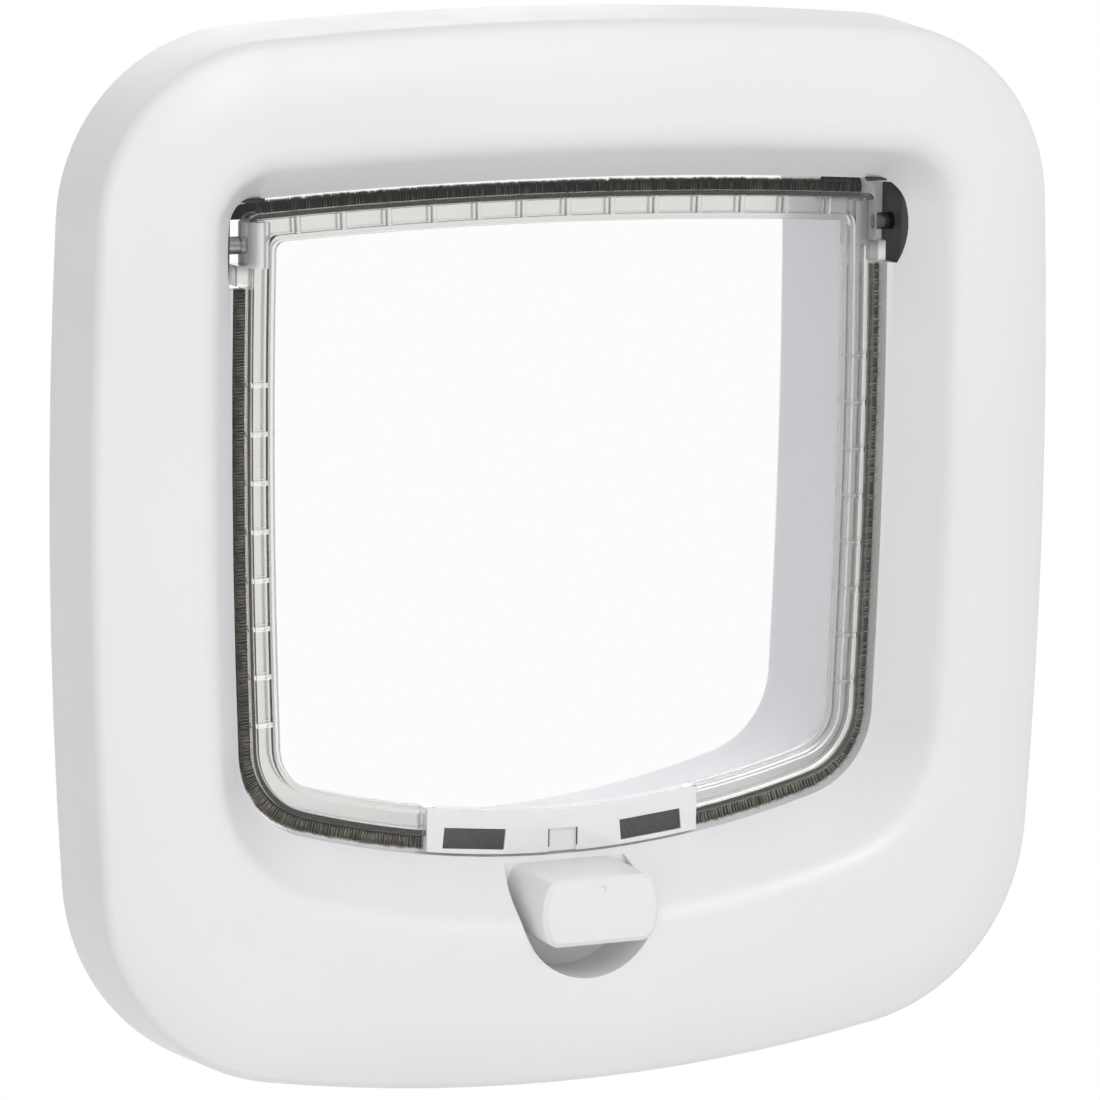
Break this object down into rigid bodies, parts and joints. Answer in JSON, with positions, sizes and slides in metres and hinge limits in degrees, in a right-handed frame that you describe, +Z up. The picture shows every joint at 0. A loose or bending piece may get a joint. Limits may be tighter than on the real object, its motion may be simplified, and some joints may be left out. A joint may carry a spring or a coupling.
{
  "type": "cat flap",
  "caption": "Moulded frame with a sleeve through the door, a clear flap with a pile seal that swings both ways on side pins, magnets along its foot and a turning lock in the sill.",
  "frame": {"origin": "middle of the frame on the plane of its back, midway between the four screw pillars", "axes": "+X to the right as seen from the room, +Y from the room into the door, +Z up"},
  "size_m": [0.2442, 0.08, 0.2507],
  "materials": {
    "frame_white": "satin moulded",
    "liner_white": "fine moulded",
    "screw_steel": "zinc plated",
    "bearing_dark": "fine moulded",
    "striker_steel": "bare",
    "flap_clear": "clear polished",
    "pile_dark": "short brush pile",
    "bar_pale": "satin moulded",
    "magnet_grey": "sintered",
    "knob_white": "satin moulded",
    "cam_white": "fine moulded"
  },
  "bodies": {
    "frame": {"front_frame": "frame_white", "door_liner": "liner_white", "liner_screws": "screw_steel", "hinge_bearing_left": "bearing_dark", "hinge_bearing_right": "bearing_dark", "striker_left": "striker_steel", "striker_right": "striker_steel"},
    "flap": {"flap_panel": "flap_clear", "pile_strip_top": "pile_dark", "pile_strip_left": "pile_dark", "pile_strip_right": "pile_dark", "magnet_bar": "bar_pale", "magnet_left": "magnet_grey", "magnet_right": "magnet_grey"},
    "lock": {"lock_knob": "knob_white", "lock_cam": "cam_white", "lock_screw": "screw_steel"}
  },
  "joints": [
    {"name": "flap_swing", "type": "hinge", "parent": "frame", "child": "flap", "pos_m": [0, -0.009, 0.074], "axis": [1, 0, 0], "range_deg": [-90, 90]},
    {"name": "lock_turn", "type": "hinge", "parent": "frame", "child": "lock", "pos_m": [0, -0.013, -0.0803], "axis": [0, -1, 0], "continuous": true}
  ]
}
